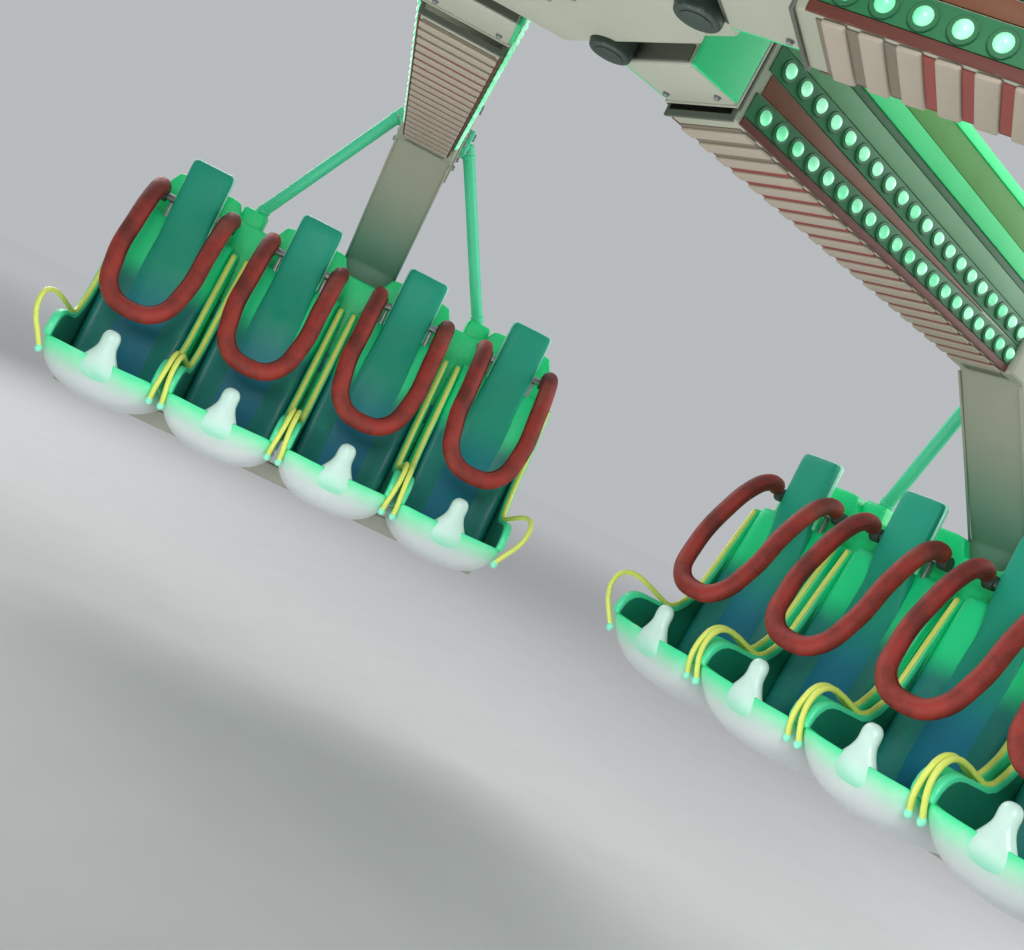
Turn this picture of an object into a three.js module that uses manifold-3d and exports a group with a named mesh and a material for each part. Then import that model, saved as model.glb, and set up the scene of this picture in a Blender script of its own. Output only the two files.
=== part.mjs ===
// Gondola of a pendulum ride: a slewing hub with six box beams, each with a leg that carries a row
// of four seats facing the hub, and a lap and shoulder restraint on every seat.
// Millimetres, +Z up. The origin is the centre of the upper face of the top flange, which bolts to
// the end of the swing arm. Each arm is built along +X and turned about Z: x is the radius, y runs
// along the row, and heights are counted from the top of the seat horns.
import * as THREE from 'three';
import { mergeVertices } from 'three/addons/utils/BufferGeometryUtils.js';
import Module from 'manifold-3d';

// Driving dimensions
const armCount = 6;
const seatsPerRow = 4;
const seatPitch = 600;
const flangeHeight = 2360;
const seam = 0.3;
const bearingGap = 0.8;

// Hub: a six-sided core with a stub for every arm
const coreApothem = 600;
const coreBottom = 1560;
const coreTop = 2060;
const stubInner = 640;
const stubOuter = 868;
const stubHalfWidth = 190;
const stubBottom = 1500;
const stubTop = 2030;
const stubBury = 40;
const underplateApothem = 530;
const pinRadius = 68;
const pinOrbit = 566;
const pinOffset = 120;
const pinBottom = 1480;
const pinBury = 20;
const notchGap = 2;
const coverRadius = 260;
const coverRim = 190;
const coverDepth = 70;
const topPlateRadius = 690;
const topPlateThickness = 30;
const ringOuterRadius = 600;
const ringInnerRadius = 440;
const slewingRingTop = 2215;
const flangeRadius = 850;
const flangeThickness = 60;
const motorRadius = 105;
const motorHeight = 330;
const motorOrbit = 700;
const motorCount = 2;

// Arm: a beam that tapers outwards and is narrower below than above, and a leg of even width that
// slopes out and down behind the seats
const beamRoot = stubOuter + seam;
const beamRootUnderside = 1465;
const beamRootTop = 2030;
const beamRootHalfWidth = 190;
const beamRootHalfUnderside = 150;
const elbowRadius = 2780;
const elbowUnderside = 1414;
const kneeStart = 2690;
const beamEndTop = 1915;
const beamEndRadius = 3060;
const crownRadius = 3180;
const crownHeight = 1800;
const neckRadius = 3200;
const neckHeight = 1385;
const armHalfWidth = 145;
const taperEnd = 2600;
const legFront = 3400;
const legBack = 3590;
const legKnee = 850;
const legBackKnee = 1030;
const legBottom = -180;
const rootFlangeThickness = 24;
const rootFlangeBorder = 22;

// Row frame behind the seats
const panelFront = 3334;
const panelHalfWidth = 1190;
const panelBottom = -120;
const panelLow = 760;
const panelHigh = 845;
const panelStepHalfWidth = 170;
const panelStepSlope = 40;
const strutRadius = 32;
const strutHeadRadius = 3100;
const strutHead = 1600;
const strutFootRadius = 3436;
const strutFootOffset = 650;
const strutFoot = 820;
const shoeHalfWidth = 65;
const shoeFront = 3370;
const shoeBack = 3478;
const shoeBottom = 630;
const shoeTop = 845;
const headPlateHalf = 65;
const headPlateThickness = 40;

// Seat
const hornRadius = 2650;
const hornThickness = 85;
const wingInner = 245;
const wingOuter = 285;
const seatBottom = -385;
const panFrontRadius = 2665;
const panFront = -150;
const panMiddleRadius = 2930;
const panMiddle = -205;
const panBack = -240;
const backFoot = 3108;
const backTop = 620;
const backWingOverlap = 5;
const headrestHalfWidth = 112;
const headrestTop = 930;
const headrestBottom = 640;
const headrestFront = 3170;
const headrestBack = 3235;
const lugHalf = 18;
const lugHalfThickness = 9;
const lugOffset = 127;
const lugBury = 20;
const railHeight = 90;
const railDepth = 95;
const railOverrun = 10;
const backRailDepth = 30;
const backRailBottom = 240;
const backRailTop = 340;

// Restraint
const pivotRadius = 3265;
const pivotHeight = 700;
const shaftRadius = 20;
const restraintHalfWidth = 190;
const padRadius = 48;
const padSteps = 13;
const padSides = 6;

const cylinderSides = 20;
const strutSides = 8;
const pinSides = 12;
const coverSides = 24;

const wasm = await Module();
wasm.setup();

// Material colours
const white = new THREE.Color(0.86, 0.85, 0.82);
const green = new THREE.Color(0.08, 0.72, 0.46);
const teal = new THREE.Color(0.05, 0.42, 0.40);
const red = new THREE.Color(0.60, 0.14, 0.12);
const darkGrey = new THREE.Color(0.10, 0.10, 0.11);
const steel = new THREE.Color(0.55, 0.56, 0.57);

function solidOf(geometry) {
  const bare = geometry.index ? geometry.toNonIndexed() : geometry;
  bare.deleteAttribute('normal');
  bare.deleteAttribute('uv');
  const merged = mergeVertices(bare, 1e-3);
  return new wasm.Manifold(new wasm.Mesh({
    numProp: 3,
    vertProperties: new Float32Array(merged.attributes.position.array),
    triVerts: new Uint32Array(merged.index.array),
  }));
}

function geometryOf(solid) {
  const mesh = solid.getMesh();
  const geometry = new THREE.BufferGeometry();
  geometry.setAttribute('position', new THREE.BufferAttribute(mesh.vertProperties, 3));
  geometry.setIndex(new THREE.BufferAttribute(mesh.triVerts, 1));
  geometry.computeVertexNormals();
  return geometry;
}

function shapeOf(points) {
  return new THREE.Shape(points.map(([a, b]) => new THREE.Vector2(a, b)));
}

// A flat outline in x and z, given its thickness along y and centred on y
function alongRow(points, thickness, y = 0) {
  const geometry = new THREE.ExtrudeGeometry(shapeOf(points), { depth: thickness, bevelEnabled: false });
  geometry.rotateX(Math.PI / 2);
  geometry.translate(0, y + thickness / 2, 0);
  return geometry;
}

// A flat outline in y and z, given its thickness along x from a front face
function alongRadius(points, front, thickness) {
  const geometry = new THREE.ExtrudeGeometry(shapeOf(points), { depth: thickness, bevelEnabled: false });
  const turn = new THREE.Matrix4().set(0, 0, 1, 0, 1, 0, 0, 0, 0, 1, 0, 0, 0, 0, 0, 1);
  geometry.applyMatrix4(turn);
  geometry.translate(front, 0, 0);
  return geometry;
}

function block(x0, x1, y0, y1, z0, z1) {
  const geometry = new THREE.BoxGeometry(x1 - x0, y1 - y0, z1 - z0);
  geometry.translate((x0 + x1) / 2, (y0 + y1) / 2, (z0 + z1) / 2);
  return geometry;
}

// A solid of revolution about Z from radius and height pairs
function turned(profile, segments = 48) {
  const points = profile.map(([radius, height]) => new THREE.Vector2(radius, height));
  points.push(points[0].clone());
  const geometry = new THREE.LatheGeometry(points, segments);
  geometry.rotateX(Math.PI / 2);
  return geometry;
}

function rod(from, to, radius, sides) {
  const start = new THREE.Vector3(...from);
  const end = new THREE.Vector3(...to);
  const axis = end.clone().sub(start);
  const geometry = new THREE.CylinderGeometry(radius, radius, axis.length(), sides);
  const turn = new THREE.Quaternion().setFromUnitVectors(new THREE.Vector3(0, 1, 0), axis.normalize());
  geometry.applyQuaternion(turn);
  const middle = start.add(end).multiplyScalar(0.5);
  geometry.translate(middle.x, middle.y, middle.z);
  return geometry;
}

function joined(geometries) {
  const solids = geometries.map(solidOf);
  return solids.reduce((whole, piece) => whole.add(piece));
}

function named(name, geometry, color, roughness, metalness) {
  const mesh = new THREE.Mesh(geometry, new THREE.MeshStandardMaterial({ color, roughness, metalness }));
  mesh.name = name;
  return mesh;
}

// Fixed ring, flange and drives
function topFlange() {
  return turned([[0, flangeHeight - flangeThickness], [flangeRadius, flangeHeight - flangeThickness],
    [flangeRadius, flangeHeight], [0, flangeHeight]]);
}

function ring(bottom, top) {
  return turned([[ringInnerRadius, bottom], [ringOuterRadius, bottom],
    [ringOuterRadius, top], [ringInnerRadius, top]]);
}

function motor(angle) {
  const geometry = new THREE.CylinderGeometry(motorRadius, motorRadius, motorHeight, cylinderSides);
  geometry.rotateX(Math.PI / 2);
  geometry.translate(motorOrbit * Math.cos(angle), motorOrbit * Math.sin(angle),
    flangeHeight + seam + motorHeight / 2);
  return geometry;
}

// Hub
function hexagon(apothem, bottom, top) {
  const corner = apothem / Math.cos(Math.PI / armCount);
  const geometry = new THREE.CylinderGeometry(corner, corner, top - bottom, armCount);
  geometry.rotateX(Math.PI / 2);
  geometry.translate(0, 0, (top + bottom) / 2);
  return geometry;
}

function hubDrum() {
  const pieces = [hexagon(coreApothem, coreBottom, coreTop)];
  const stubStart = coreApothem - stubBury;
  const stubOutline = [[stubStart, coreBottom], [stubInner, coreBottom], [stubInner, stubBottom],
    [stubOuter, stubBottom], [stubOuter, stubTop], [stubStart, stubTop]];
  for (let arm = 0; arm < armCount; arm += 1) {
    const turn = arm * 2 * Math.PI / armCount;
    pieces.push(alongRow(stubOutline, 2 * stubHalfWidth).rotateZ(turn));
    pieces.push(pin(pinRadius, pinBottom, coreBottom + pinBury).rotateZ(turn));
  }
  return geometryOf(joined(pieces));
}

// A round bar at the place of the first arm's pin
function pin(radius, bottom, top) {
  return rod([pinOrbit, pinOffset, bottom], [pinOrbit, pinOffset, top], radius, pinSides);
}

// Plate under the core, notched around the pins
function underplate() {
  let plate = solidOf(hexagon(underplateApothem, stubBottom, coreBottom - seam));
  for (let arm = 0; arm < armCount; arm += 1) {
    const notch = pin(pinRadius + notchGap, pinBottom, coreBottom).rotateZ(arm * 2 * Math.PI / armCount);
    plate = plate.subtract(solidOf(notch));
  }
  return geometryOf(plate);
}

function centreCover() {
  const top = stubBottom - seam;
  return turned([[0, top - coverDepth], [coverRim, top - coverDepth], [coverRadius, top - coverDepth / 2],
    [coverRadius, top], [0, top]], coverSides);
}

// Arm
function beamUnderside(x) {
  return beamRootUnderside + (x - beamRoot) / (elbowRadius - beamRoot) * (elbowUnderside - beamRootUnderside);
}

function beamTop(x) {
  return beamRootTop + (x - beamRoot) / (beamEndRadius - beamRoot) * (beamEndTop - beamRootTop);
}

// Half the beam's width at a radius and a height
function beamHalfWidth(x, z) {
  const narrowing = 1 - (1 - armHalfWidth / beamRootHalfWidth) * (x - beamRoot) / (taperEnd - beamRoot);
  const rise = (z - beamUnderside(x)) / (beamTop(x) - beamUnderside(x));
  return narrowing * (beamRootHalfUnderside + rise * (beamRootHalfWidth - beamRootHalfUnderside));
}

function beam() {
  const side = [[beamRoot, beamRootUnderside], [elbowRadius, elbowUnderside],
    [elbowRadius, beamTop(elbowRadius)], [beamRoot, beamRootTop]];
  const geometry = alongRow(side, 2);
  const place = geometry.attributes.position;
  for (let index = 0; index < place.count; index += 1) {
    const half = beamHalfWidth(place.getX(index), place.getZ(index));
    place.setY(index, Math.sign(place.getY(index)) * half);
  }
  return geometry;
}

function arm() {
  const knee = [[kneeStart, beamUnderside(kneeStart)], [elbowRadius, elbowUnderside], [legFront, legKnee],
    [legFront, legBottom], [legBack, legBottom], [legBack, legBackKnee], [neckRadius, neckHeight],
    [crownRadius, crownHeight], [beamEndRadius, beamEndTop], [kneeStart, beamTop(kneeStart)]];
  const flangeHalfWidth = beamRootHalfWidth + rootFlangeBorder;
  const flange = block(beamRoot, beamRoot + rootFlangeThickness, -flangeHalfWidth, flangeHalfWidth,
    beamRootUnderside - rootFlangeBorder, beamRootTop + rootFlangeBorder);
  return geometryOf(joined([beam(), alongRow(knee, 2 * armHalfWidth), flange]));
}

// Back panel of the row, whose upper edge steps up behind every seat, with its two struts
function rowFrame() {
  const outline = [[-panelHalfWidth, panelBottom], [panelHalfWidth, panelBottom]];
  for (let seat = seatsPerRow - 1; seat >= 0; seat -= 1) {
    const centre = seatOffset(seat);
    const reach = panelStepHalfWidth + panelStepSlope;
    outline.push([Math.min(centre + reach, panelHalfWidth), panelLow]);
    outline.push([centre + panelStepHalfWidth, panelHigh]);
    outline.push([centre - panelStepHalfWidth, panelHigh]);
    outline.push([Math.max(centre - reach, -panelHalfWidth), panelLow]);
  }
  const pieces = [alongRadius(outline, panelFront + seam, legFront - panelFront - 2 * seam)];
  const plateInner = armHalfWidth + seam;
  const plateMiddle = plateInner + headPlateThickness / 2;
  for (const side of [-1, 1]) {
    const foot = [strutFootRadius, side * strutFootOffset, strutFoot];
    const head = [strutHeadRadius, side * (plateInner + strutRadius), strutHead];
    pieces.push(rod(foot, head, strutRadius, strutSides));
    pieces.push(block(shoeFront, shoeBack, side * strutFootOffset - shoeHalfWidth,
      side * strutFootOffset + shoeHalfWidth, shoeBottom, shoeTop));
    pieces.push(block(strutHeadRadius - headPlateHalf, strutHeadRadius + headPlateHalf,
      side * plateMiddle - headPlateThickness / 2, side * plateMiddle + headPlateThickness / 2,
      strutHead - headPlateHalf, strutHead + headPlateHalf));
  }
  return geometryOf(joined(pieces));
}

function seatOffset(seat) {
  return (seat - (seatsPerRow - 1) / 2) * seatPitch;
}

// Height of the seat pan at a radius
function panHeight(radius) {
  if (radius < panMiddleRadius) {
    const part = (radius - panFrontRadius) / (panMiddleRadius - panFrontRadius);
    return panFront + part * (panMiddle - panFront);
  }
  const part = (radius - panMiddleRadius) / (panelFront - panMiddleRadius);
  return panMiddle + part * (panBack - panMiddle);
}

// Boat-shaped seat base with a horn at its front
function seatBase() {
  const side = [[panFrontRadius, panFront], [2735, -340], [3180, seatBottom], [panelFront, seatBottom],
    [panelFront, panBack], [panMiddleRadius, panMiddle]];
  const front = [[-280, -120], [-280, -165], [-215, -285], [-110, seatBottom - 10],
    [110, seatBottom - 10], [215, -285], [280, -165], [280, -120]];
  const hull = solidOf(alongRow(side, 2 * wingOuter))
    .intersect(solidOf(alongRadius(front, hornRadius, panelFront - hornRadius)));
  const horn = alongRadius([[-90, -240], [90, -240], [40, -110], [45, -50], [28, 0], [-28, 0],
    [-45, -50], [-40, -110]], hornRadius, hornThickness);
  return hull.add(solidOf(horn));
}

function seatBaseRow() {
  const halfLength = seatOffset(seatsPerRow - 1) + wingOuter - railOverrun;
  let row = solidOf(block(panelFront - railDepth, panelFront, -halfLength, halfLength,
    seatBottom, seatBottom + railHeight));
  for (let seat = 0; seat < seatsPerRow; seat += 1) {
    row = row.add(seatBase().translate([0, seatOffset(seat), 0]));
  }
  return geometryOf(row);
}

// Seat back with its two side wings, headrest and the lugs under the restraint shaft
function seatBack() {
  const wingSide = [[panFrontRadius, panFront + seam], [2660, -120], [2668, -80], [2710, -30],
    [2790, -15], [2980, -30], [3100, 90], [3170, 350], [3235, 590], [panelFront, 590],
    [panelFront, panBack + seam], [panMiddleRadius, panMiddle + seam]];
  const backSide = [[backFoot, panHeight(backFoot) + seam], [3120, -60], [3228, backTop],
    [panelFront, backTop], [panelFront, panBack + seam]];
  const headrestSide = [[headrestFront, headrestBottom], [headrestFront, headrestTop],
    [headrestBack, headrestTop], [headrestBack, 650], [3260, 560], [3222, 470]];
  const wingMiddle = (wingInner + wingOuter) / 2;
  const pieces = [
    alongRow(wingSide, wingOuter - wingInner, wingMiddle),
    alongRow(wingSide, wingOuter - wingInner, -wingMiddle),
    alongRow(backSide, 2 * (wingInner + backWingOverlap)),
    alongRow(headrestSide, 2 * headrestHalfWidth),
  ];
  for (const side of [-1, 1]) {
    pieces.push(block(pivotRadius - lugHalf, pivotRadius + lugHalf, side * lugOffset - lugHalfThickness,
      side * lugOffset + lugHalfThickness, backTop - lugBury, pivotHeight - shaftRadius - seam));
  }
  return joined(pieces);
}

function seatBackRow() {
  const halfLength = seatOffset(seatsPerRow - 1) + wingOuter - railOverrun;
  let row = solidOf(block(panelFront - backRailDepth, panelFront, -halfLength, halfLength,
    backRailBottom, backRailTop));
  for (let seat = 0; seat < seatsPerRow; seat += 1) {
    row = row.add(seatBack().translate([0, seatOffset(seat), 0]));
  }
  return geometryOf(row);
}

// Restraint: a padded U over both shoulders on a shaft behind the headrest
function restraint() {
  const side = restraintHalfWidth;
  const half = [[pivotRadius, side, pivotHeight], [3185, side, 732], [3075, side, 680],
    [2960, side, 520], [2865, side - 8, 300], [2805, side - 70, 150]];
  const path = half.map(([x, y, z]) => new THREE.Vector3(x, y, z));
  path.push(new THREE.Vector3(2790, 0, 112));
  for (const [x, y, z] of half.toReversed()) {
    path.push(new THREE.Vector3(x, -y, z));
  }
  const section = new THREE.Shape();
  for (let corner = 0; corner < padSides; corner += 1) {
    const angle = corner * 2 * Math.PI / padSides;
    const x = padRadius * Math.cos(angle);
    const y = padRadius * Math.sin(angle);
    if (corner === 0) {
      section.moveTo(x, y);
    } else {
      section.lineTo(x, y);
    }
  }
  section.closePath();
  const curve = new THREE.CatmullRomCurve3(path);
  const pad = new THREE.ExtrudeGeometry(section, { steps: padSteps, extrudePath: curve });
  const shaft = rod([pivotRadius, -side, pivotHeight], [pivotRadius, side, pivotHeight], shaftRadius, 12);
  return geometryOf(joined([pad, shaft]));
}

const gondola = new THREE.Group();
gondola.position.z = -flangeHeight;
gondola.add(named('arm_flange', topFlange(), steel, 0.45, 0.8));
gondola.add(named('bearing_ring', ring(slewingRingTop + bearingGap, flangeHeight - flangeThickness - seam),
  steel, 0.4, 0.9));
for (let drive = 0; drive < motorCount; drive += 1) {
  const angle = Math.PI / 2 + drive * 2 * Math.PI / motorCount;
  gondola.add(named(`spin_motor_${drive + 1}`, motor(angle), darkGrey, 0.5, 0.4));
}
const topPlateBottom = coreTop + seam;
const topPlateTop = topPlateBottom + topPlateThickness;
gondola.add(named('slewing_ring', ring(topPlateTop + seam, slewingRingTop), steel, 0.4, 0.9));
gondola.add(named('hub_top_plate', turned([[0, topPlateBottom], [topPlateRadius, topPlateBottom],
  [topPlateRadius, topPlateTop], [0, topPlateTop]]), white, 0.5, 0.2));
gondola.add(named('hub_drum', hubDrum(), white, 0.5, 0.2));
gondola.add(named('hub_underplate', underplate(), white, 0.5, 0.2));
gondola.add(named('hub_centre_cover', centreCover(), darkGrey, 0.5, 0.3));

for (let index = 0; index < armCount; index += 1) {
  const armGroup = new THREE.Group();
  armGroup.rotation.z = index * 2 * Math.PI / armCount;
  const label = index + 1;
  armGroup.add(named(`arm_${label}`, arm(), white, 0.5, 0.2));
  armGroup.add(named(`row_frame_${label}`, rowFrame(), green, 0.45, 0.1));
  armGroup.add(named(`seat_base_${label}`, seatBaseRow(), white, 0.5, 0));
  armGroup.add(named(`seat_back_${label}`, seatBackRow(), teal, 0.5, 0));
  for (let seat = 0; seat < seatsPerRow; seat += 1) {
    const mesh = named(`restraint_${label}_${seat + 1}`, restraint(), red, 0.6, 0);
    mesh.position.y = seatOffset(seat);
    armGroup.add(mesh);
  }
  gondola.add(armGroup);
}

const root = new THREE.Group();
root.add(gondola);
export default root;
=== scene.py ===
import math

import bpy
from mathutils import Matrix, Vector


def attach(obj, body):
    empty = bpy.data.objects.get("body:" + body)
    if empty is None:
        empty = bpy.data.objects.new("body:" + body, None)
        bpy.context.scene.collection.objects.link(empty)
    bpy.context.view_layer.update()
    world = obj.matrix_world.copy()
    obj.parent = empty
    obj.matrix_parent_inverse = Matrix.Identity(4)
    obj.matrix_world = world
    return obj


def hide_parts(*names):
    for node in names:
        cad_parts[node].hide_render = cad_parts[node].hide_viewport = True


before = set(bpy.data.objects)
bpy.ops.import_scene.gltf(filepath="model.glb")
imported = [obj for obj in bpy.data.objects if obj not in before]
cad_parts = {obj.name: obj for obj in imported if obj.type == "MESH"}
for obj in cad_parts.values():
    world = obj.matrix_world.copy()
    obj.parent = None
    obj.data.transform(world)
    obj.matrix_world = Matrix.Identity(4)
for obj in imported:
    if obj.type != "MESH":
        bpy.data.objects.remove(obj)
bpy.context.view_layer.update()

# Heights are counted from the top of the seat horns, and the flange face is the frame's zero.
DROP = 2.360
ARMS = 6
SEAT_OFFSETS = (-0.9, -0.3, 0.3, 0.9)
TURN = 2 * math.pi / ARMS

# Lower and upper faces of what is stacked under the flange
FLANGE_THICK = 0.060
FIXED_RING = (2.2158, 2.2997)
TURNING_RING = (2.0906, 2.215)
TOP_PLATE = (2.0603, 2.0903)
UNDERPLATE = (1.500, 1.5597)
CAP_TOP = 1.4997

# Hub
FLANGE_RADIUS = 0.850
LID_RADIUS = 0.690
RING_OUTER = 0.600
RING_INNER = 0.440
CORE_APOTHEM = 0.600
CORE_LOW = 1.560
CORE_HIGH = 2.060
STUB_START = CORE_APOTHEM - 0.04
STUB_STEP = 0.640
STUB_OUTER = 0.868
STUB_HALF = 0.190
STUB_HALF_LOW = 0.155
STUB_LOW = 1.500
STUB_HIGH = 2.030
UNDERPLATE_APOTHEM = 0.530
PIN = (0.566, 0.120)
DRIVE_ORBIT = 0.700

# Arm
BEAM_ROOT = 0.8683
ROOT_LOW = 1.465
ROOT_HIGH = 2.030
ROOT_HALF = 0.190
ROOT_HALF_LOW = 0.150
TOP_SLOPE = 0.0525
TAPER_END = 2.600
ARM_HALF = 0.145
ELBOW = (2.780, 1.414)
LAMP_PITCH = 0.088
LAMP_COUNT = 20
LAMP_START = 0.975
LAMP_RADIUS = 0.024
COLLAR_RADIUS = 0.034
KNEE_START = 2.690
DRESSING_END = 2.688
PANEL_START = 0.925
PANEL_POINT = 2.380

# Row
PANEL_FRONT = 3.3343
PANEL_BACK = 3.3997
PANEL_HALF = 1.190
PANEL_LOW = -0.120
BACK_REAR = 3.3335
RAIL_HALF = 1.175
BACK_HALF = 0.246
TRIM_RADIUS = 0.0125
PIVOT = (3.265, 0.700)
RESTRAINT_HALF = 0.190
SLEEVE_RADIUS = 0.0425
SWELL_LIMIT = 0.005
CLOTH_FRAMES = 20


def up(height):
    return height - DROP


def deselect():
    bpy.ops.object.select_all(action="DESELECT")


def use(*pieces):
    deselect()
    for piece in pieces:
        piece.select_set(True)
    bpy.context.view_layer.objects.active = pieces[0]


def named(name):
    piece = bpy.context.active_object
    piece.name = name
    piece.data.name = name
    return piece


def edit(piece):
    use(piece)
    bpy.ops.object.mode_set(mode="EDIT")


def leave_edit():
    bpy.ops.object.mode_set(mode="OBJECT")


def settle(piece):
    """Puts the piece's place, turn and size into its mesh."""
    use(piece)
    bpy.ops.object.transform_apply(location=True, rotation=True, scale=True)
    return piece


def faced_outwards(piece):
    edit(piece)
    bpy.ops.mesh.select_all(action="SELECT")
    bpy.ops.mesh.remove_doubles(threshold=1e-5)
    bpy.ops.mesh.normals_make_consistent(inside=False)
    leave_edit()
    return piece


def chain(name, points):
    """Draws a line by extruding one vertex from point to point, and stays in edit mode."""
    deselect()
    bpy.ops.mesh.primitive_plane_add(size=0.01, location=points[0])
    piece = named(name)
    bpy.ops.object.mode_set(mode="EDIT")
    bpy.ops.mesh.select_all(action="SELECT")
    bpy.ops.mesh.merge(type="CENTER")
    for start, end in zip(points, points[1:]):
        step = Vector(end) - Vector(start)
        bpy.ops.mesh.extrude_region_move(TRANSFORM_OT_translate={"value": step})
    bpy.ops.mesh.select_all(action="SELECT")
    return piece


def prism(name, outline, depth):
    """A flat outline pushed out along depth."""
    piece = chain(name, outline)
    bpy.ops.mesh.edge_face_add()
    bpy.ops.mesh.extrude_region_move(TRANSFORM_OT_translate={"value": depth})
    leave_edit()
    return faced_outwards(settle(piece))


def grown(name, outline, steps):
    """An outline extruded step by step, each step a move, a scale and the point it scales about."""
    piece = chain(name, outline)
    bpy.ops.mesh.edge_face_add()
    for move, scale, centre in steps:
        bpy.ops.mesh.extrude_region_move(TRANSFORM_OT_translate={"value": move})
        bpy.ops.transform.resize(value=scale, center_override=centre)
    leave_edit()
    return faced_outwards(settle(piece))


def side_plate(name, outline, y, thick):
    """An outline of radius and height pairs, pushed out along the row from y."""
    return prism(name, [(x, y, up(z)) for x, z in outline], (0, thick, 0))


def swept(name, ring, stations):
    """Grows a ring through stations of radius, height, and size along x, y and z. The ring's points
    are in shares of those sizes."""
    x, z, long, wide, tall = stations[0]
    outline = [(x + a * long, b * wide, up(z + c * tall)) for a, b, c in ring]
    steps = [((x2 - x1, 0, z2 - z1), (long2 / long1, wide2 / wide1, tall2 / tall1), (x2, 0, up(z2)))
             for (x1, z1, long1, wide1, tall1), (x2, z2, long2, wide2, tall2)
             in zip(stations, stations[1:])]
    return rounded(grown(name, outline, steps))


def both_sides(half):
    """A ring from its half on one side, without doubling points on the middle line."""
    return list(half) + [(-u, v) for u, v in reversed(half) if u]


def turned(name, profile, steps):
    """A line of radius and height pairs spun about Z."""
    piece = chain(name, [(radius, 0, height) for radius, height in profile])
    bpy.ops.mesh.spin(steps=steps, angle=2 * math.pi, center=(0, 0, 0), axis=(0, 0, 1))
    leave_edit()
    faced_outwards(settle(piece))
    bpy.ops.object.shade_smooth_by_angle(angle=math.radians(30))
    return piece


def block(name, low, high):
    deselect()
    centre = [(a + b) / 2 for a, b in zip(low, high)]
    size = [b - a for a, b in zip(low, high)]
    bpy.ops.mesh.primitive_cube_add(size=1, location=centre, scale=size)
    return settle(named(name))


def rod(name, start, end, radius, sides=20):
    deselect()
    axis = Vector(end) - Vector(start)
    bpy.ops.mesh.primitive_cylinder_add(
        vertices=sides, radius=radius, depth=axis.length,
        location=(Vector(start) + Vector(end)) / 2,
        rotation=axis.to_track_quat("Z", "Y").to_euler())
    return settle(named(name))


def hexagon(name, apothem, low, high):
    """A six-sided plate or drum whose sides face the arms."""
    return rod(name, (0, 0, low), (0, 0, high), apothem / math.cos(TURN / 2), ARMS)


def tube(name, points, radius, fineness=3):
    """A round bar along a smooth line through the points."""
    deselect()
    bpy.ops.curve.primitive_bezier_curve_add()
    piece = named(name)
    line = piece.data.splines[0]
    line.bezier_points.add(len(points) - 2)
    for knot, point in zip(line.bezier_points, points):
        knot.co = point
        knot.handle_left_type = knot.handle_right_type = "AUTO"
    piece.data.dimensions = "3D"
    piece.data.resolution_u = 8
    piece.data.bevel_depth = radius
    piece.data.bevel_resolution = fineness
    piece.data.use_fill_caps = True
    bpy.ops.object.convert(target="MESH")
    return faced_outwards(settle(piece))


def apply(piece, kind, **settings):
    """Adds a modifier, sets it and applies it."""
    use(piece)
    modifier = piece.modifiers.new(kind.lower(), kind)
    for setting, value in settings.items():
        setattr(modifier, setting, value)
    bpy.ops.object.modifier_apply(modifier=modifier.name)
    return piece


def soften(piece, width, segments=2, angle=35):
    """Rounds the edges, puts them in a second material slot, and shades the faces smooth."""
    while len(piece.data.materials) < 2:
        piece.data.materials.append(None)
    apply(piece, "BEVEL", width=width, segments=segments, limit_method="ANGLE",
          angle_limit=math.radians(angle), material=1)
    bpy.ops.object.shade_smooth_by_angle(angle=math.radians(40))
    return piece


def rounded(piece):
    apply(piece, "SUBSURF", levels=1, render_levels=1)
    bpy.ops.object.shade_smooth()
    return piece


def copy_of(piece, name, move=(0, 0, 0), turn=0.0):
    use(piece)
    bpy.ops.object.duplicate()
    copy = named(name)
    copy.rotation_euler.z = turn
    copy.location = Vector(move)
    return settle(copy)


def joined(name, pieces):
    use(*pieces)
    if len(pieces) > 1:
        bpy.ops.object.join()
    return named(name)


def mirrored(piece):
    """The piece and its mirror image across the arm's middle plane, as one."""
    use(piece)
    bpy.ops.object.duplicate()
    image = bpy.context.active_object
    image.scale.y = -1
    return joined(piece.name, [piece, faced_outwards(settle(image))])


def repeated(piece, count, step):
    return apply(piece, "ARRAY", count=count, use_relative_offset=False,
                 use_constant_offset=True, constant_offset_displace=step)


def ringed(piece, count):
    """Copies of the piece spaced evenly about Z, as one."""
    copies = [copy_of(piece, piece.name, turn=2 * math.pi * place / count) for place in range(1, count)]
    return joined(piece.name, [piece] + copies)


def cover(piece, finish):
    """Gives the piece its finish, and its rounded edges the worn one."""
    slots = piece.data.materials
    if len(slots) < 2:
        slots.clear()
        slots.append(finish.material)
    else:
        slots[0] = finish.material
        slots[1] = (finish.worn or finish).material
    return piece


def edged(piece, finish, width, segments=2, angle=35):
    """The piece with its edges rounded and its finish on."""
    return cover(soften(piece, width, segments, angle), finish)


def keep_place(piece):
    """Stores each point's place before the piece is turned, so that patterns turn with it."""
    stored = piece.data.attributes.new("own_place", "FLOAT_VECTOR", "POINT")
    for vertex in piece.data.vertices:
        stored.data[vertex.index].vector = vertex.co
    return piece


def linear(colour):
    """A colour as the eye sees it, as the shader's own numbers."""
    return [((c + 0.055) / 1.055) ** 2.4 if c > 0.04 else c / 12.92 for c in colour] + [1]


def darker(colour, share):
    return [part * share for part in linear(colour)[:3]] + [1]


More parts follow.
